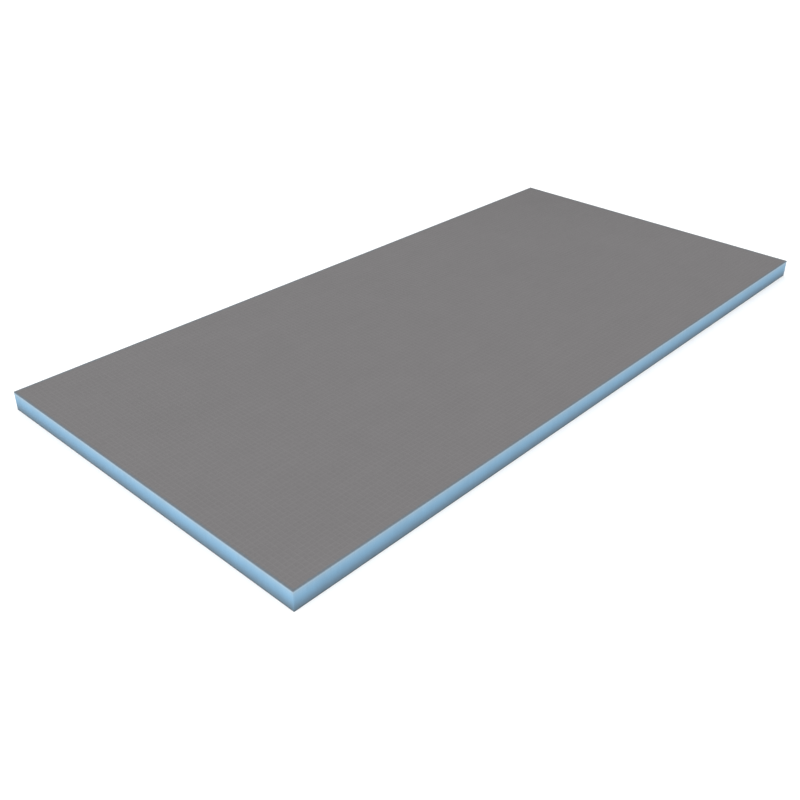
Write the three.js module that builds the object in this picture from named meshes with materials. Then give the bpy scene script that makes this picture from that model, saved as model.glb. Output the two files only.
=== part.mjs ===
// Foam tile backer board, lying flat: a rigid foam core bonded between two thin coats of
// polymer cement mortar. Each coat has a glass fibre mesh set in it, and the four edges are
// cut square through all three layers, so that the foam shows between the coats.
//
// Millimetres. +X runs along the board, +Y across it and +Z up out of the tiling face.
// The origin is at the middle of the underside.

import * as THREE from "three";

// Driving dimensions
const boardLength = 1250;
const boardWidth = 600;
const boardThickness = 30;
const coatThickness = 1; // mortar with the mesh in it, on each face of the core

// Heights of the board's four faces and joints, from the underside up
const undersideZ = 0;
const lowerJointZ = undersideZ + coatThickness;
const upperJointZ = undersideZ + boardThickness - coatThickness;
const tilingFaceZ = undersideZ + boardThickness;

const mortarGrey = new THREE.MeshStandardMaterial({
  color: 0x828081,
  roughness: 0.9,
  metalness: 0,
});
const foamBlue = new THREE.MeshStandardMaterial({
  color: 0x98c4e2,
  roughness: 0.65,
  metalness: 0,
});

// One layer of the board, the full outline of the cut sheet between two heights. The heights
// are written into the vertices, so that two layers at a joint hold the very same number there
// and meet face to face, whatever the thicknesses are.
function layer(name, lowZ, highZ, material) {
  const geometry = new THREE.BoxGeometry(boardLength, boardWidth, 1);
  const corners = geometry.getAttribute("position");
  for (let i = 0; i < corners.count; i++) {
    corners.setZ(i, corners.getZ(i) > 0 ? highZ : lowZ);
  }
  const mesh = new THREE.Mesh(geometry, material);
  mesh.name = name;
  return mesh;
}

const board = new THREE.Group();
board.add(layer("bottom_mortar_coat", undersideZ, lowerJointZ, mortarGrey));
board.add(layer("foam_core", lowerJointZ, upperJointZ, foamBlue));
board.add(layer("top_mortar_coat", upperJointZ, tilingFaceZ, mortarGrey));

export default board;
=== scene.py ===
import math

import bpy
from mathutils import Matrix, Vector, noise


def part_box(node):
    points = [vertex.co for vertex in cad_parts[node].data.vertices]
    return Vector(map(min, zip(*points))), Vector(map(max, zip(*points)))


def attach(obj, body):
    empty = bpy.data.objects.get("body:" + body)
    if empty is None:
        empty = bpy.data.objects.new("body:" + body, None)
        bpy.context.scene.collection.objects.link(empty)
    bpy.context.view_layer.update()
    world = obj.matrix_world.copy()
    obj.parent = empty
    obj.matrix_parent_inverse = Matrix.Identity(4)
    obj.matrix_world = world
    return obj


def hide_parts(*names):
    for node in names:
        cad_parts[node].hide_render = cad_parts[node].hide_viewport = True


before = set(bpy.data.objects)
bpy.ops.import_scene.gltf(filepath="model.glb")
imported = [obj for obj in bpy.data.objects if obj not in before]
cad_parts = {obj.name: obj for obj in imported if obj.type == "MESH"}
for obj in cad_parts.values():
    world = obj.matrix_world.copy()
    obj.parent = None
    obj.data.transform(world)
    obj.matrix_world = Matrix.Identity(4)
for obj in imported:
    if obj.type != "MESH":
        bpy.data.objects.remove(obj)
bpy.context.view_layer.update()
print("frame loaded:", ", ".join(sorted(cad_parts)))

# the three layers, as the frame has them
topLow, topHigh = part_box("top_mortar_coat")
foamLow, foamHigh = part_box("foam_core")
bottomLow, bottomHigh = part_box("bottom_mortar_coat")
boardLength = topHigh.x - topLow.x
boardWidth = topHigh.y - topLow.y
coatDepth = topHigh.z - topLow.z

millimetre = 0.001

# the glass fibre mesh, the same in both coats
fibreMesh = {
    "pitch": 7.5 * millimetre,  # strand to strand, both ways
    "spareCell": 0.001,         # of a cell, so that a rounding error doesn't drop a strand
}


# helpers for node trees

def addNode(tree, kind, inputs=None, **settings):
    made = tree.nodes.new(kind)
    for name, value in settings.items():
        setattr(made, name, value)
    for name, value in (inputs or {}).items():
        if isinstance(value, bpy.types.NodeSocket):
            tree.links.new(value, made.inputs[name])
        else:
            made.inputs[name].default_value = value
    return made


def calc(tree, operation, first, second=0.0):
    return addNode(tree, "ShaderNodeMath", {0: first, 1: second}, operation=operation).outputs[0]


def wrap(tree, value, low, high):
    return addNode(tree, "ShaderNodeMath", {0: value, 1: high, 2: low}, operation="WRAP").outputs[0]


def vectorCalc(tree, operation, first, second=(0.0, 0.0, 0.0)):
    return addNode(tree, "ShaderNodeVectorMath", {0: first, 1: second}, operation=operation).outputs[0]


def vectorOf(tree, x, y, z):
    return addNode(tree, "ShaderNodeCombineXYZ", {0: x, 1: y, 2: z}).outputs[0]


def partsOf(tree, vector):
    return addNode(tree, "ShaderNodeSeparateXYZ", {0: vector}).outputs


def noiseOf(tree, vector, size, detail=2.0, roughness=0.5):
    # size is how far apart the blotches are, in metres
    settings = {"Vector": vector, "Scale": 1 / size, "Detail": detail, "Roughness": roughness}
    return addNode(tree, "ShaderNodeTexNoise", settings)


def remap(tree, value, low, high, newLow, newHigh):
    return addNode(tree, "ShaderNodeMapRange", {0: value, 1: low, 2: high, 3: newLow, 4: newHigh}).outputs[0]


def vary(tree, value, low, high):
    # a noise keeps mostly to its middle, so the middle is stretched to the whole range
    return remap(tree, value, 0.3, 0.7, low, high)


def spotOf(tree, cells, radius, inner, outer):
    # 1 in the middle of a cell, 0 past the radius, with a soft rim
    share = calc(tree, "DIVIDE", cells.outputs["Distance"], radius)
    return calc(tree, "SUBTRACT", 1.0, remap(tree, share, inner, outer, 0.0, 1.0))


def cellsOf(tree, vector, size):
    return addNode(tree, "ShaderNodeTexVoronoi", {"Vector": vector, "Scale": 1 / size})


def shadeColour(tree, shader, colour, shade):
    shaded = addNode(tree, "ShaderNodeVectorMath", {0: colour, "Scale": shade}, operation="SCALE")
    tree.links.new(shaded.outputs[0], shader.inputs["Base Color"])


def addRoughness(tree, shader, value, middle, spread):
    rough = vary(tree, value, middle - spread, middle + spread)
    tree.links.new(rough, shader.inputs["Roughness"])


def addBump(tree, shader, height, depth, strength):
    bump = addNode(tree, "ShaderNodeBump", {"Height": height, "Distance": depth, "Strength": strength})
    tree.links.new(bump.outputs[0], shader.inputs["Normal"])


def newGeometryTree(name, inputs):
    tree = bpy.data.node_groups.new(name, "GeometryNodeTree")
    for label, kind in inputs:
        tree.interface.new_socket(name=label, in_out="INPUT", socket_type="NodeSocket" + kind)
    tree.interface.new_socket(name="Geometry", in_out="OUTPUT", socket_type="NodeSocketGeometry")
    return tree


def strandCount(tree, side, pitch):
    cells = calc(tree, "DIVIDE", side, pitch)
    return calc(tree, "FLOOR", calc(tree, "ADD", cells, fibreMesh["spareCell"]))


def growPiece(name, tree, values):
    # runs the tree once and keeps its result as a plain mesh
    piece = bpy.data.objects.new(name, bpy.data.meshes.new(name))
    bpy.context.scene.collection.objects.link(piece)
    modifier = piece.modifiers.new(tree.name, "NODES")
    modifier.node_group = tree
    for item in tree.interface.items_tree:
        if item.in_out == "INPUT":
            modifier[item.identifier] = values[item.name]
    graph = bpy.context.evaluated_depsgraph_get()
    grown = bpy.data.meshes.new_from_object(
        piece.evaluated_get(graph), preserve_all_data_layers=True, depsgraph=graph
    )
    piece.modifiers.remove(modifier)
    piece.data = grown
    return piece


# mortar

mortar = {
    "colour": (0.1365, 0.132, 0.134),
    # blue foam dust, dragged over the edge by the saw: pale on the upper cut; the lower cut is darker with
    # painted shade
    "upperCutColour": (0.160, 0.210, 0.260),
    "lowerCutColour": (0.080, 0.107, 0.132),
    "rimColour": (0.113, 0.136, 0.157),
    "rimWidth": 3.4 * millimetre,     # how far a darker, bluer band reaches in over the face
    "rimFade": 0.55,                  # of that width, from where the band thins out
    "rimRagged": 0.9 * millimetre,    # how far its inner border strays
    "rimPatch": 5 * millimetre,
    "fibreToneAndPaintedShade": 1.115,             # a strand is paler than the openings: the fibre just under the skin, with painted shade in the sunk openings
    "paintedCornerShade": 0.93,              # painted shade: the face is a little darker toward one corner
    "cornerReach": 450 * millimetre,  # from it, along the length and width together
    "mottleSize": 55 * millimetre,
    "mottle": 0.015,
    "streakLength": 400 * millimetre,
    "streakSpacing": 14 * millimetre,
    "streak": 0.01,
    "grainSize": 0.9 * millimetre,
    "grain": 0.045,
    "grainHeight": 0.5,
    "fineSize": 0.3 * millimetre,
    "fineHeight": 0.8,
    "poreSpacing": 4.2 * millimetre,
    "poreRadius": 0.055,              # of the spacing, for the largest
    "poreLeast": 0.004,
    "poreRim": (0.7, 1.1),            # of its radius, where its floor ends and where the skin begins
    # painted shade in the pores, which also sink in the bump
    "paintedPoreShade": 0.62,
    "poreSink": 1.5,
    "yarnSize": 0.16 * millimetre,    # filaments of a strand, showing through the skin
    "yarnLength": 2.5 * millimetre,
    "yarnFrom": 0.35,                 # up a strand's flank, where its filaments begin to show
    "yarnFull": 0.85,
    "yarnHeight": 1.6,
    "yarnShade": 0.2,
    "bumpDepth": 0.12 * millimetre,
    "bump": 0.8,
    "roughness": 0.9,
    "roughnessSpread": 0.06,
    "specular": 0.25,
}


def strandDistance(tree, along, side):
    # from a point to the nearest strand that crosses this axis, as the coat tree lays them
    pitch = fibreMesh["pitch"]
    count = math.floor(side / pitch + fibreMesh["spareCell"])
    shift = 0.0 if count % 2 else pitch / 2
    moved = calc(tree, "SUBTRACT", along, shift)
    return calc(tree, "ABSOLUTE", wrap(tree, moved, -pitch / 2, pitch / 2))


def mortarMaterial(name, cutColour=None):
    material = bpy.data.materials.new(name)
    material.use_nodes = True
    tree = material.node_tree
    shader = tree.nodes["Principled BSDF"]
    place = addNode(tree, "ShaderNodeTexCoord").outputs["Object"]
    x, y = partsOf(tree, place)[:2]

    mottle = noiseOf(tree, place, mortar["mottleSize"], detail=4.0).outputs[0]
    stretched = vectorOf(
        tree,
        calc(tree, "DIVIDE", x, mortar["streakLength"]),
        calc(tree, "DIVIDE", y, mortar["streakSpacing"]),
        0.0,
    )
    streak = noiseOf(tree, stretched, 1.0, detail=3.0).outputs[0]
    grain = partsOf(tree, cellsOf(tree, place, mortar["grainSize"]).outputs["Color"])[0]
    pores = cellsOf(tree, place, mortar["poreSpacing"])
    poreLuck = calc(tree, "POWER", partsOf(tree, pores.outputs["Color"])[1], 2.0)
    poreRadius = calc(tree, "MULTIPLY", poreLuck, mortar["poreRadius"])
    poreRadius = calc(tree, "ADD", poreRadius, mortar["poreLeast"])
    pore = spotOf(tree, pores, poreRadius, *mortar["poreRim"])

    shade = vary(tree, mottle, 1 - mortar["mottle"], 1 + mortar["mottle"])
    streakShade = vary(tree, streak, 1 - mortar["streak"], 1 + mortar["streak"])
    grainShade = remap(tree, grain, 0.0, 1.0, 1 - mortar["grain"], 1 + mortar["grain"])
    # painted shade: the pores darker
    paintedPoreShade = remap(tree, pore, 0.0, 1.0, 1.0, mortar["paintedPoreShade"])
    for part in (streakShade, grainShade, paintedPoreShade):
        shade = calc(tree, "MULTIPLY", shade, part)

    fine = noiseOf(tree, place, mortar["fineSize"], detail=3.0, roughness=0.6).outputs[0]
    height = calc(tree, "MULTIPLY", grain, mortar["grainHeight"])
    height = calc(tree, "ADD", height, calc(tree, "MULTIPLY", fine, mortar["fineHeight"]))
    height = calc(tree, "SUBTRACT", height, calc(tree, "MULTIPLY", pore, mortar["poreSink"]))

    if cutColour:
        colour = cutColour
    else:
        rim = mortar["rimWidth"]
        marginX = calc(tree, "SUBTRACT", boardLength / 2, calc(tree, "ABSOLUTE", x))
        marginY = calc(tree, "SUBTRACT", boardWidth / 2, calc(tree, "ABSOLUTE", y))
        ragged = noiseOf(tree, place, mortar["rimPatch"], detail=3.0).outputs[0]
        ragged = vary(tree, ragged, -mortar["rimRagged"], mortar["rimRagged"])
        margin = calc(tree, "ADD", calc(tree, "MINIMUM", marginX, marginY), ragged)
        edgeBand = remap(tree, margin, rim * mortar["rimFade"], rim, 1.0, 0.0)
        colour = addNode(tree, "ShaderNodeMix", {
            0: edgeBand,
            6: (*mortar["colour"], 1.0),
            7: (*mortar["rimColour"], 1.0),
        }, data_type="RGBA").outputs[2]
        strand = addNode(tree, "ShaderNodeAttribute", attribute_name="strand").outputs["Fac"]
        acrossX = strandDistance(tree, x, boardLength)
        acrossY = strandDistance(tree, y, boardWidth)
        runsAlongY = calc(tree, "LESS_THAN", acrossX, acrossY)
        thin, long = mortar["yarnSize"], mortar["yarnLength"]
        sizeX = remap(tree, runsAlongY, 0.0, 1.0, 1 / long, 1 / thin)
        sizeY = remap(tree, runsAlongY, 0.0, 1.0, 1 / thin, 1 / long)
        yarnPlace = vectorOf(tree, calc(tree, "MULTIPLY", x, sizeX), calc(tree, "MULTIPLY", y, sizeY), 0.0)
        yarn = noiseOf(tree, yarnPlace, 1.0, detail=1.0).outputs[0]
        onStrand = remap(tree, strand, mortar["yarnFrom"], mortar["yarnFull"], 0.0, 1.0)
        lift = calc(tree, "MULTIPLY", calc(tree, "SUBTRACT", yarn, 0.5), onStrand)
        height = calc(tree, "ADD", height, calc(tree, "MULTIPLY", lift, mortar["yarnHeight"]))
        yarnShade = calc(tree, "ADD", 1.0, calc(tree, "MULTIPLY", lift, mortar["yarnShade"]))

        # how far a point lies along toward the corner with the painted shade
        bothSides = boardLength + boardWidth
        along = calc(tree, "ADD", calc(tree, "ADD", x, y), bothSides / 2)
        darkFrom = bothSides - mortar["cornerReach"]
        for part in (
            # the strands paler, with painted shade in the sunk openings
            remap(tree, strand, 0.0, 1.0, 1.0, mortar["fibreToneAndPaintedShade"]),
            # painted shade toward one corner
            remap(tree, along, darkFrom, bothSides, 1.0, mortar["paintedCornerShade"]),
            yarnShade,
        ):
            shade = calc(tree, "MULTIPLY", shade, part)

    shadeColour(tree, shader, colour, shade)
    addRoughness(tree, shader, fine, mortar["roughness"], mortar["roughnessSpread"])
    shader.inputs["Specular IOR Level"].default_value = mortar["specular"]
    addBump(tree, shader, height, mortar["bumpDepth"], mortar["bump"])
    return material


mortarFace = mortarMaterial("mortarFace")
upperCut = mortarMaterial("upperMortarCut", mortar["upperCutColour"])
# the lower cut's colour is darkened with painted shade
lowerCut = mortarMaterial("lowerMortarCut", mortar["lowerCutColour"])
print("mortar mixed")


# mortar coats, with the mesh standing out a little

coat = {
    "strandWidth": 1.9 * millimetre,   # where the mortar rises to a strand, foot to foot
    "widthSpread": 0.1,                # of the strand width, from one opening to the next
    "relief": 0.24 * millimetre,       # strand over the middle of a mesh opening
    "filled": 0.65,                    # of the relief, where mortar fills the openings best
    "fillSize": 70 * millimetre,
    "unevenness": 0.10 * millimetre,   # of the trowelled face
    "unevenSize": 38 * millimetre,
    "dipRange": (0.25, 0.75),          # of its noise, from no dip to the full one
    "wander": 1.6 * millimetre,        # how far a strand strays from its line, at the very most
    "wanderSize": 130 * millimetre,
    "wanderMargin": 20 * millimetre,   # from the sawn sides, over which the straying fades out
    "rimWidth": 0.2 * millimetre,      # the arris that the saw leaves
    "weld": 0.001 * millimetre,
    "smoothFrom": 0.8,                 # how far a face looks up before it is shaded smooth
}


def coatTree():
    tree = newGeometryTree("mortarCoat", [
        ("Length", "Float"),
        ("Width", "Float"),
        ("Depth", "Float"),
        ("Mesh Pitch", "Float"),
        ("Strand Width", "Float"),
        ("Relief", "Float"),
        ("Unevenness", "Float"),
        ("Wander", "Float"),
        ("Rim Width", "Float"),
        ("Seed", "Float"),
        ("Joint Height", "Float"),
        ("Turn Over", "Float"),
        ("Face Material", "Material"),
        ("Cut Material", "Material"),
    ])
    given = addNode(tree, "NodeGroupInput").outputs
    pitch = given["Mesh Pitch"]
    place = addNode(tree, "GeometryNodeInputPosition").outputs[0]
    x, y, z = partsOf(tree, place)[:3]
    seeded = vectorCalc(tree, "ADD", place, vectorOf(tree, given["Seed"], given["Seed"], 0.0))

    # a grid with a line on every strand, and its outer lines pulled in to the sawn outline
    counts = [strandCount(tree, given[side], pitch) for side in ("Length", "Width")]
    spans = [calc(tree, "MULTIPLY", calc(tree, "ADD", count, 1.0), pitch) for count in counts]
    grid = addNode(tree, "GeometryNodeMeshGrid", {
        "Size X": spans[0],
        "Size Y": spans[1],
        "Vertices X": calc(tree, "ADD", counts[0], 2.0),
        "Vertices Y": calc(tree, "ADD", counts[1], 2.0),
    })
    halves = []
    for side in ("Length", "Width"):
        half = calc(tree, "MULTIPLY", given[side], 0.5)
        halves.append(calc(tree, "SUBTRACT", half, given["Rim Width"]))
    inside = [
        calc(tree, "MAXIMUM", calc(tree, "MINIMUM", value, half), calc(tree, "MULTIPLY", half, -1.0))
        for value, half in ((x, halves[0]), (y, halves[1]))
    ]
    trimmed = addNode(tree, "GeometryNodeSetPosition", {
        "Geometry": grid.outputs["Mesh"],
        "Position": vectorOf(tree, inside[0], inside[1], given["Depth"]),
    })

    # each mesh opening sinks, and what is left around it is the strands
    filling = noiseOf(tree, seeded, coat["fillSize"], detail=3.0).outputs[0]
    sinking = calc(tree, "MULTIPLY", given["Relief"], vary(tree, filling, -coat["filled"], -1.0))
    sunk = addNode(tree, "GeometryNodeExtrudeMesh", {
        "Mesh": trimmed.outputs[0],
        "Offset Scale": sinking,
        "Individual": True,
    }, mode="FACES")
    luck = addNode(tree, "FunctionNodeRandomValue", {
        2: 1 - coat["widthSpread"],
        3: 1 + coat["widthSpread"],
    }, data_type="FLOAT").outputs[1]
    strandShare = calc(tree, "MULTIPLY", calc(tree, "DIVIDE", given["Strand Width"], pitch), luck)
    opened = addNode(tree, "GeometryNodeScaleElements", {
        "Geometry": sunk.outputs["Mesh"],
        "Selection": sunk.outputs["Top"],
        "Scale": calc(tree, "SUBTRACT", 1.0, strandShare),
    }, domain="FACE", scale_mode="UNIFORM")
    marked = addNode(tree, "GeometryNodeStoreNamedAttribute", {
        "Geometry": opened.outputs[0],
        "Name": "strand",
        "Value": calc(tree, "SUBTRACT", 1.0, sunk.outputs["Top"]),
    }, data_type="FLOAT", domain="POINT")

    # the strands stray a little, and the face is never quite flat, but the sawn sides are straight
    margins = [
        calc(tree, "SUBTRACT", half, calc(tree, "ABSOLUTE", value))
        for value, half in ((x, halves[0]), (y, halves[1]))
    ]
    nearEdge = calc(tree, "MINIMUM", margins[0], margins[1])
    free = remap(tree, nearEdge, 0.0, coat["wanderMargin"], 0.0, 1.0)
    stray = noiseOf(tree, seeded, coat["wanderSize"], detail=1.0).outputs[1]
    stray = partsOf(tree, vectorCalc(tree, "SUBTRACT", stray, (0.5, 0.5, 0.5)))
    sideways = calc(tree, "MULTIPLY", given["Wander"], free)
    dip = noiseOf(tree, seeded, coat["unevenSize"], detail=3.0).outputs[0]
    sag = remap(tree, dip, *coat["dipRange"], 0.0, -1.0)
    sag = calc(tree, "MULTIPLY", sag, given["Unevenness"])
    uneven = addNode(tree, "GeometryNodeSetPosition", {
        "Geometry": marked.outputs[0],
        "Offset": vectorOf(
            tree,
            calc(tree, "MULTIPLY", stray[0], sideways),
            calc(tree, "MULTIPLY", stray[1], sideways),
            sag,
        ),
    })

    # the arris, the sawn side and the flat back that is bonded to the foam
    neighbours = addNode(tree, "GeometryNodeInputMeshEdgeNeighbors").outputs[0]
    outer = addNode(tree, "FunctionNodeCompare", {2: neighbours, 3: 1}, data_type="INT", operation="EQUAL")
    rim = addNode(tree, "GeometryNodeExtrudeMesh", {
        "Mesh": uneven.outputs[0],
        "Selection": outer.outputs[0],
        "Offset Scale": 0.0,
    }, mode="EDGES")
    outwards = []
    for value, side, half in ((x, "Length", halves[0]), (y, "Width", halves[1])):
        stretch = calc(tree, "DIVIDE", calc(tree, "MULTIPLY", given[side], 0.5), half)
        outwards.append(calc(tree, "MULTIPLY", value, stretch))
    lowered = calc(tree, "SUBTRACT", z, given["Rim Width"])
    arris = addNode(tree, "GeometryNodeSetPosition", {
        "Geometry": rim.outputs["Mesh"],
        "Selection": rim.outputs["Top"],
        "Position": vectorOf(tree, outwards[0], outwards[1], lowered),
    })
    sides = addNode(tree, "GeometryNodeExtrudeMesh", {
        "Mesh": arris.outputs[0],
        "Selection": rim.outputs["Top"],
        "Offset Scale": 0.0,
    }, mode="EDGES")
    sawn = addNode(tree, "GeometryNodeSetPosition", {
        "Geometry": sides.outputs["Mesh"],
        "Selection": sides.outputs["Top"],
        "Position": vectorOf(tree, x, y, 0.0),
    })
    outline = addNode(tree, "GeometryNodeMeshToCurve", {
        "Mesh": sawn.outputs[0],
        "Selection": sides.outputs["Top"],
    })
    back = addNode(tree, "GeometryNodeFillCurve", {"Curve": outline.outputs[0]}, mode="NGONS")
    turned = addNode(tree, "GeometryNodeFlipFaces", {"Mesh": back.outputs[0]})

    faced = addNode(tree, "GeometryNodeSetMaterial", {
        "Geometry": sawn.outputs[0],
        "Material": given["Face Material"],
    })
    cut = addNode(tree, "GeometryNodeSetMaterial", {
        "Geometry": faced.outputs[0],
        "Selection": sides.outputs["Side"],
        "Material": given["Cut Material"],
    })
    joined = addNode(tree, "GeometryNodeJoinGeometry")
    tree.links.new(cut.outputs[0], joined.inputs[0])
    tree.links.new(turned.outputs[0], joined.inputs[0])
    welded = addNode(tree, "GeometryNodeMergeByDistance", {
        "Geometry": joined.outputs[0],
        "Distance": coat["weld"],
    })
    # the tiling face is smooth, and the arris and the sawn sides stay crisp
    facing = partsOf(tree, addNode(tree, "GeometryNodeInputNormal").outputs[1])[2]
    smooth = addNode(tree, "GeometryNodeSetShadeSmooth", {
        "Geometry": welded.outputs[0],
        "Shade Smooth": calc(tree, "GREATER_THAN", facing, coat["smoothFrom"]),
    })
    laid = addNode(tree, "GeometryNodeTransform", {
        "Geometry": smooth.outputs[0],
        "Translation": vectorOf(tree, 0.0, 0.0, given["Joint Height"]),
        "Rotation": vectorOf(tree, given["Turn Over"], 0.0, 0.0),
    })
    whole = addNode(tree, "GeometryNodeRealizeInstances", {"Geometry": laid.outputs[0]})
    # the back, the one big face, has the bare mortar of the cut edge too
    area = addNode(tree, "GeometryNodeInputMeshFaceArea").outputs[0]
    backed = addNode(tree, "GeometryNodeSetMaterial", {
        "Geometry": whole.outputs[0],
        "Selection": calc(tree, "GREATER_THAN", area, calc(tree, "MULTIPLY", pitch, given["Length"])),
        "Material": given["Cut Material"],
    })
    addNode(tree, "NodeGroupOutput", {"Geometry": backed.outputs[0]})
    return tree


def makeCoat(name, tree, node, cut, jointHeight, turnOver, seed):
    piece = growPiece(name, tree, {
        "Length": boardLength,
        "Width": boardWidth,
        "Depth": coatDepth,
        "Mesh Pitch": fibreMesh["pitch"],
        "Strand Width": coat["strandWidth"],
        "Relief": coat["relief"],
        "Unevenness": coat["unevenness"],
        "Wander": coat["wander"],
        "Rim Width": coat["rimWidth"],
        "Seed": seed,
        "Joint Height": jointHeight,
        "Turn Over": turnOver,
        "Face Material": mortarFace,
        "Cut Material": cut,
    })
    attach(piece, "root")
    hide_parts(node)


coatNodes = coatTree()
makeCoat("top_coat_with_mesh", coatNodes, "top_mortar_coat", upperCut, topLow.z, 0.0, 3.7)
makeCoat("bottom_coat_with_mesh", coatNodes, "bottom_mortar_coat", lowerCut, bottomHigh.z, math.pi, 11.2)
print("mortar coats laid")


# foam core, with the faint waves and drag marks of the wire that cut it

foam = {
    "cornerRadius": 0.8 * millimetre,
    "cornerSteps": 4,
    "stepAlong": 3.0 * millimetre,
    # rings of points up the cut, as shares of its height, close together at the joints
    "levels": (0.0, 0.012, 0.04, 0.10, 0.20, 0.32, 0.44, 0.56, 0.68, 0.80, 0.90, 0.96, 0.988, 1.0),
    "waveDepth": 0.16 * millimetre,
    "waveLength": 90 * millimetre,
    "dragDepth": 0.07 * millimetre,
    "dragLength": 9 * millimetre,
    "dragStretch": 0.08,               # upwards, against along the cut
    "jointDepth": 0.10 * millimetre,   # the foam sits this far behind the coats at the joints
    "jointReach": 0.03,                # of the height
    # colour from the underside up to the joint with the top coat: painted shade darkens it towards the
    # underside, a pale band runs just under the coat, and a painted shadow line lies at the joint
    "colours": (
        (0.00, (0.105, 0.150, 0.185)),
        (0.08, (0.100, 0.162, 0.214)),
        (0.18, (0.108, 0.184, 0.254)),
        (0.35, (0.131, 0.244, 0.353)),
        (0.55, (0.154, 0.300, 0.438)),
        (0.78, (0.198, 0.346, 0.482)),
        (0.89, (0.230, 0.356, 0.464)),
        (0.945, (0.292, 0.400, 0.488)),
        (0.982, (0.190, 0.270, 0.330)),
    ),
    "ripple": 0.4 * millimetre,        # how far the colours rise and fall along the cut
    "rippleSize": 5 * millimetre,
    "mottleSize": 30 * millimetre,
    "mottle": 0.04,
    "markSpacing": 2.2 * millimetre,   # upright marks of the wire
    "markStretch": 0.06,               # upwards, against along the cut
    "mark": 0.03,
    "markHeight": 0.8,
    "cellSize": 0.35 * millimetre,
    "cell": 0.05,
    "cellHeight": 0.6,
    "tornSpacing": 6 * millimetre,
    "tornRadius": 0.075,               # of the spacing, for the largest
    "tornLeast": 0.002,
    "tornRim": (0.6, 1.1),
    # painted shade in the torn cells, which also sink in the bump
    "paintedTornShade": 0.80,
    "tornSink": 1.4,
    "bumpDepth": 0.10 * millimetre,
    "bump": 0.7,
    "roughness": 0.62,
    "roughnessSpread": 0.05,
    "specular": 0.3,
}


def foamOutline():
    # points round the core, each with the direction that faces out there
    radius = foam["cornerRadius"]
    halfX, halfY = foamHigh.x - radius, foamHigh.y - radius
    corners = ((halfX, halfY), (-halfX, halfY), (-halfX, -halfY), (halfX, -halfY))
    outline = []
    for turn, (x, y) in enumerate(corners):
        for step in range(foam["cornerSteps"] + 1):
            angle = math.radians(90 * (turn + step / foam["cornerSteps"]))
            facing = Vector((math.cos(angle), math.sin(angle), 0.0))
            outline.append((Vector((x, y, 0.0)) + facing * radius, facing))
        start = outline[-1][0]
        nextX, nextY = corners[(turn + 1) % 4]
        end = Vector((nextX, nextY, 0.0)) + facing * radius
        count = round((end - start).length / foam["stepAlong"])
        outline += [(start.lerp(end, i / count), facing) for i in range(1, count)]
    return outline


def cutInset(point, share):
    wave = noise.noise(point / foam["waveLength"])
    drag = noise.noise(Vector((point.x, point.y, point.z * foam["dragStretch"])) / foam["dragLength"])
    joint = max(0.0, 1 - min(share, 1 - share) / foam["jointReach"])
    inset = foam["waveDepth"] * (0.5 + 0.5 * wave) + foam["dragDepth"] * (0.5 + 0.5 * drag)
    return inset + foam["jointDepth"] * joint


def foamMaterial():
    material = bpy.data.materials.new("cutFoam")
    material.use_nodes = True
    tree = material.node_tree
    shader = tree.nodes["Principled BSDF"]
    place = addNode(tree, "ShaderNodeTexCoord").outputs["Object"]
    x, y, z = partsOf(tree, place)[:3]

    # the joint line wanders a little, so that the pale band under the coat isn't ruled
    ripple = noiseOf(tree, place, foam["rippleSize"], detail=2.0).outputs[0]
    moved = calc(tree, "ADD", z, remap(tree, ripple, 0.0, 1.0, -foam["ripple"], foam["ripple"]))
    height = remap(tree, moved, foamLow.z, foamHigh.z, 0.0, 1.0)
    # the ramp holds painted shade towards the underside and a painted shadow line at the joint
    ramp = addNode(tree, "ShaderNodeValToRGB", {"Fac": height})
    stops = ramp.color_ramp.elements
    while len(stops) < len(foam["colours"]):
        stops.new(0.5)
    for stop, (position, colour) in zip(stops, foam["colours"]):
        stop.position = position
        stop.color = (*colour, 1.0)

    mottle = noiseOf(tree, place, foam["mottleSize"], detail=4.0).outputs[0]
    markPlace = vectorOf(tree, x, y, calc(tree, "MULTIPLY", z, foam["markStretch"]))
    mark = noiseOf(tree, markPlace, foam["markSpacing"], detail=3.0, roughness=0.6).outputs[0]
    cells = cellsOf(tree, place, foam["cellSize"])
    cell = partsOf(tree, cells.outputs["Color"])[0]
    torn = cellsOf(tree, place, foam["tornSpacing"])
    luck = calc(tree, "POWER", partsOf(tree, torn.outputs["Color"])[1], 3.0)
    radius = calc(tree, "ADD", calc(tree, "MULTIPLY", luck, foam["tornRadius"]), foam["tornLeast"])
    pit = spotOf(tree, torn, radius, *foam["tornRim"])

    shade = vary(tree, mottle, 1 - foam["mottle"], 1 + foam["mottle"])
    for part in (
        vary(tree, mark, 1 - foam["mark"], 1 + foam["mark"]),
        remap(tree, cell, 0.0, 1.0, 1 - foam["cell"], 1 + foam["cell"]),
        # painted shade: the torn cells darker
        remap(tree, pit, 0.0, 1.0, 1.0, foam["paintedTornShade"]),
    ):
        shade = calc(tree, "MULTIPLY", shade, part)
    shadeColour(tree, shader, ramp.outputs[0], shade)

    relief = calc(tree, "MULTIPLY", cells.outputs["Distance"], -foam["cellHeight"])
    relief = calc(tree, "ADD", relief, calc(tree, "MULTIPLY", mark, foam["markHeight"]))
    relief = calc(tree, "SUBTRACT", relief, calc(tree, "MULTIPLY", pit, foam["tornSink"]))
    addBump(tree, shader, relief, foam["bumpDepth"], foam["bump"])
    addRoughness(tree, shader, mottle, foam["roughness"], foam["roughnessSpread"])
    shader.inputs["Specular IOR Level"].default_value = foam["specular"]
    return material


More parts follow.
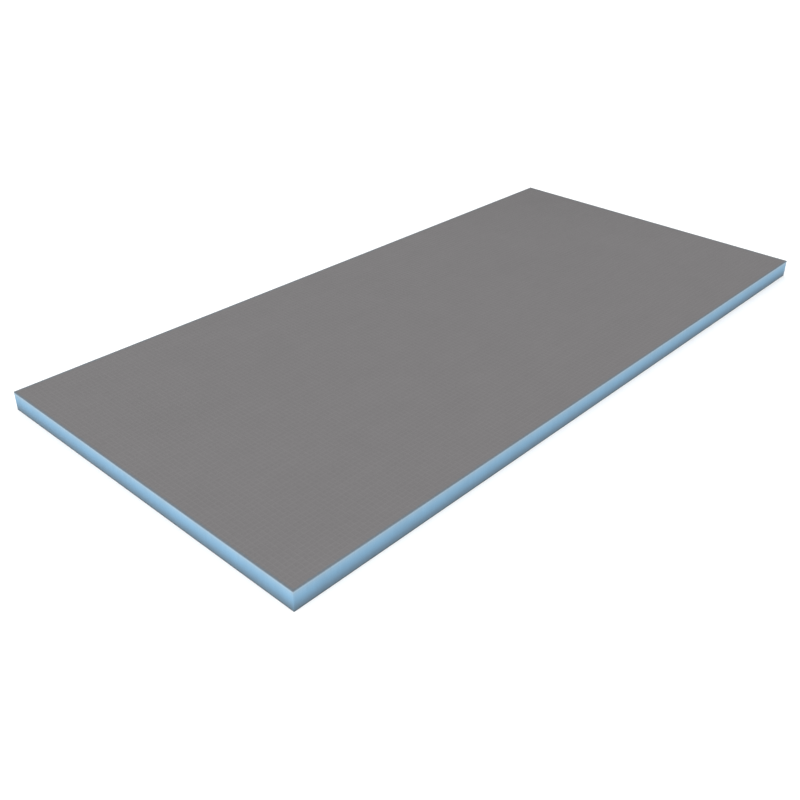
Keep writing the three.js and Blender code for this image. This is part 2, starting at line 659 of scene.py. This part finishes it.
def makeFoam():
    outline = foamOutline()
    around = len(outline)
    points, faces = [], []
    for share in foam["levels"]:
        z = foamLow.z + (foamHigh.z - foamLow.z) * share
        for point, facing in outline:
            raised = Vector((point.x, point.y, z))
            points.append(raised - facing * cutInset(raised, share))
    for level in range(len(foam["levels"]) - 1):
        for i in range(around):
            low, high = level * around, (level + 1) * around
            after = (i + 1) % around
            faces.append((low + i, low + after, high + after, high + i))
    sides = len(faces)
    faces.append(tuple(reversed(range(around))))
    faces.append(tuple(range(len(points) - around, len(points))))
    mesh = bpy.data.meshes.new("foam_core_cut")
    mesh.from_pydata(points, [], faces)
    mesh.polygons.foreach_set("use_smooth", [i < sides for i in range(len(faces))])
    mesh.materials.append(foamMaterial())
    mesh.update()
    piece = bpy.data.objects.new("foam_core_cut", mesh)
    bpy.context.scene.collection.objects.link(piece)
    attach(piece, "root")
    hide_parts("foam_core")


makeFoam()
print("foam core cut")


# strand ends, where the saw went through the mesh

strandEnd = {
    "yarnWidth": 0.62 * millimetre,
    "yarnHeight": 0.30 * millimetre,
    "crossWidth": 1.6,                # of the yarn width, for the flat yarns that run across
    "sides": 8,
    "reach": 0.16 * millimetre,       # past the sawn side, for the longest
    "shortest": 0.25,                 # of that reach
    "under": 0.42 * millimetre,       # from the coat's face down to the yarn's middle
    "pairGap": 0.52 * millimetre,     # the long strands are two yarns side by side
    "colour": (0.30, 0.31, 0.31),
    "filamentSize": 0.12 * millimetre,
    "filamentShades": (0.8, 1.15),
    "dustSize": 4 * millimetre,
    "dustShades": (0.7, 1.1),
    "roughness": 0.55,
    "roughnessSpread": 0.10,
    "bumpDepth": 0.05 * millimetre,
    "bump": 0.6,
}


def strandEndTree():
    tree = newGeometryTree("strandEnds", [
        ("Length", "Float"),
        ("Width", "Float"),
        ("Depth", "Float"),
        ("Mesh Pitch", "Float"),
        ("Yarn Width", "Float"),
        ("Yarn Height", "Float"),
        ("Reach", "Float"),
        ("Under Face", "Float"),
        ("Pair Gap", "Float"),
        ("Seed", "Int"),
        ("Joint Height", "Float"),
        ("Turn Over", "Float"),
        ("Material", "Material"),
    ])
    given = addNode(tree, "NodeGroupInput").outputs
    pitch = given["Mesh Pitch"]
    height = calc(tree, "SUBTRACT", given["Depth"], given["Under Face"])
    yarn = addNode(tree, "GeometryNodeMeshCylinder", {
        "Vertices": strandEnd["sides"],
        "Radius": 0.5,
        "Depth": 2.0,
    }, fill_type="NGON")
    reaches = addNode(tree, "FunctionNodeRandomValue", {
        2: strandEnd["shortest"],
        3: 1.0,
        "Seed": given["Seed"],
    }, data_type="FLOAT")
    reach = calc(tree, "MULTIPLY", reaches.outputs[1], given["Reach"])
    thick = given["Yarn Height"]
    bundle = addNode(tree, "GeometryNodeJoinGeometry")

    def addRow(side, across, sign, shift, wide):
        # side is the length that the row of ends runs along, across is the board's size the other way
        alongX = side == "Length"
        count = strandCount(tree, given[side], pitch)
        half = calc(tree, "MULTIPLY", calc(tree, "SUBTRACT", count, 1.0), calc(tree, "MULTIPLY", pitch, -0.5))
        first = calc(tree, "ADD", half, shift)
        edge = calc(tree, "MULTIPLY", given[across], 0.5 * sign)
        start = (first, edge, height) if alongX else (edge, first, height)
        step = (pitch, 0.0, 0.0) if alongX else (0.0, pitch, 0.0)
        lean = (math.pi / 2, 0.0, 0.0) if alongX else (0.0, math.pi / 2, 0.0)
        size = (wide, thick, reach) if alongX else (thick, wide, reach)
        row = addNode(tree, "GeometryNodeMeshLine", {
            "Count": count,
            "Start Location": vectorOf(tree, *start),
            "Offset": vectorOf(tree, *step),
        })
        placed = addNode(tree, "GeometryNodeInstanceOnPoints", {
            "Points": row.outputs[0],
            "Instance": yarn.outputs[0],
            "Rotation": lean,
            "Scale": vectorOf(tree, *size),
        })
        tree.links.new(placed.outputs[0], bundle.inputs[0])

    flat = calc(tree, "MULTIPLY", given["Yarn Width"], strandEnd["crossWidth"])
    halfGap = calc(tree, "MULTIPLY", given["Pair Gap"], 0.5)
    for sign in (-1.0, 1.0):
        addRow("Length", "Width", sign, 0.0, flat)
        for twin in (-1.0, 1.0):
            addRow("Width", "Length", sign, calc(tree, "MULTIPLY", halfGap, twin), given["Yarn Width"])
    laid = addNode(tree, "GeometryNodeTransform", {
        "Geometry": bundle.outputs[0],
        "Translation": vectorOf(tree, 0.0, 0.0, given["Joint Height"]),
        "Rotation": vectorOf(tree, given["Turn Over"], 0.0, 0.0),
    })
    whole = addNode(tree, "GeometryNodeRealizeInstances", {"Geometry": laid.outputs[0]})
    painted = addNode(tree, "GeometryNodeSetMaterial", {
        "Geometry": whole.outputs[0],
        "Material": given["Material"],
    })
    addNode(tree, "NodeGroupOutput", {"Geometry": painted.outputs[0]})
    return tree


def yarnMaterial():
    material = bpy.data.materials.new("glassYarn")
    material.use_nodes = True
    tree = material.node_tree
    shader = tree.nodes["Principled BSDF"]
    place = addNode(tree, "ShaderNodeTexCoord").outputs["Object"]
    filament = noiseOf(tree, place, strandEnd["filamentSize"], detail=2.0).outputs[0]
    dust = noiseOf(tree, place, strandEnd["dustSize"], detail=2.0).outputs[0]
    shade = vary(tree, filament, *strandEnd["filamentShades"])
    shade = calc(tree, "MULTIPLY", shade, vary(tree, dust, *strandEnd["dustShades"]))
    shadeColour(tree, shader, strandEnd["colour"], shade)
    addRoughness(tree, shader, filament, strandEnd["roughness"], strandEnd["roughnessSpread"])
    addBump(tree, shader, filament, strandEnd["bumpDepth"], strandEnd["bump"])
    return material


def makeStrandEnds(name, tree, material, jointHeight, turnOver, seed):
    piece = growPiece(name, tree, {
        "Length": boardLength,
        "Width": boardWidth,
        "Depth": coatDepth,
        "Mesh Pitch": fibreMesh["pitch"],
        "Yarn Width": strandEnd["yarnWidth"],
        "Yarn Height": strandEnd["yarnHeight"],
        "Reach": strandEnd["reach"],
        "Under Face": strandEnd["under"],
        "Pair Gap": strandEnd["pairGap"],
        "Seed": seed,
        "Joint Height": jointHeight,
        "Turn Over": turnOver,
        "Material": material,
    })
    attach(piece, "root")


endNodes = strandEndTree()
yarn = yarnMaterial()
makeStrandEnds("top_strand_ends", endNodes, yarn, topLow.z, 0.0, 5)
makeStrandEnds("bottom_strand_ends", endNodes, yarn, bottomHigh.z, math.pi, 8)
print("strand ends set")


# lights, floor and camera

studio = {
    "floorReach": 14.0,
    "floorColour": (0.90, 0.90, 0.90),
    "underBoard": 0.3 * millimetre,  # how far the floor runs in under the board
    "floorRoughness": 0.9,
    "skyColour": (1.0, 1.0, 1.0),
    "skyStrength": 1.15,
}


def makeFloor():
    # open under the board and clear from below, so that the underside can be looked at too
    reach, under = studio["floorReach"], studio["underBoard"]
    edgeX, edgeY = boardLength / 2 - under, boardWidth / 2 - under
    turns = ((1, 1), (-1, 1), (-1, -1), (1, -1))
    points = [Vector((x * reach, y * reach, 0.0)) for x, y in turns]
    points += [Vector((x * edgeX, y * edgeY, 0.0)) for x, y in turns]
    faces = [(i, (i + 1) % 4, 4 + (i + 1) % 4, 4 + i) for i in range(4)]
    mesh = bpy.data.meshes.new("floor")
    mesh.from_pydata(points, [], faces)
    floor = bpy.data.objects.new("floor", mesh)
    bpy.context.scene.collection.objects.link(floor)

    material = bpy.data.materials.new("paleFloor")
    material.use_nodes = True
    tree = material.node_tree
    shader = tree.nodes["Principled BSDF"]
    shader.inputs["Base Color"].default_value = (*studio["floorColour"], 1.0)
    shader.inputs["Roughness"].default_value = studio["floorRoughness"]
    seen = addNode(tree, "ShaderNodeMixShader", {
        0: addNode(tree, "ShaderNodeNewGeometry").outputs["Backfacing"],
        1: shader.outputs[0],
        2: addNode(tree, "ShaderNodeBsdfTransparent").outputs[0],
    })
    tree.links.new(seen.outputs[0], tree.nodes["Material Output"].inputs["Surface"])
    mesh.materials.append(material)


makeFloor()

world = bpy.data.worlds.new("softSky")
world.use_nodes = True
sky = world.node_tree.nodes["Background"].inputs
sky["Color"].default_value = (*studio["skyColour"], 1.0)
sky["Strength"].default_value = studio["skyStrength"]
bpy.context.scene.world = world

softbox = {
    "place": (-4.4, -1.2, 3.9),
    "size": 2.4,
    "power": 150.0,
}


def makeSoftbox():
    # aimed at the origin, the middle of the board's underside
    light = bpy.data.lights.new("keySoftbox", "AREA")
    light.shape = "DISK"
    light.size = softbox["size"]
    light.energy = softbox["power"]
    lamp = bpy.data.objects.new("keySoftbox", light)
    lamp.location = softbox["place"]
    lamp.rotation_euler = (-Vector(softbox["place"])).to_track_quat("-Z", "Y").to_euler()
    bpy.context.scene.collection.objects.link(lamp)


makeSoftbox()

# where the photograph was taken from, found from the board's edges and its mesh lines
camera = {
    "place": (-1.1099, -0.8951, 0.7358),
    "azimuth": -47.557,
    "elevation": 31.412,
    "roll": 0.7726,
    "lens": 42.713,
    "sensor": 36.0,
}


def makeCamera():
    data = bpy.data.cameras.new("camera")
    data.lens = camera["lens"]
    data.sensor_width = camera["sensor"]
    azimuth, elevation, roll = (math.radians(camera[k]) for k in ("azimuth", "elevation", "roll"))
    back = Vector((
        math.sin(azimuth) * math.cos(elevation),
        -math.cos(azimuth) * math.cos(elevation),
        math.sin(elevation),
    ))
    level = Vector((math.cos(azimuth), math.sin(azimuth), 0.0))
    right = level * math.cos(roll) + back.cross(level) * math.sin(roll)
    turn = Matrix((right, back.cross(right), back)).transposed().to_4x4()
    seen = bpy.data.objects.new("camera", data)
    seen.matrix_world = Matrix.Translation(camera["place"]) @ turn
    bpy.context.scene.collection.objects.link(seen)
    bpy.context.scene.camera = seen


makeCamera()
bpy.context.scene.view_settings.view_transform = "Standard"
print("lights, floor and camera set")
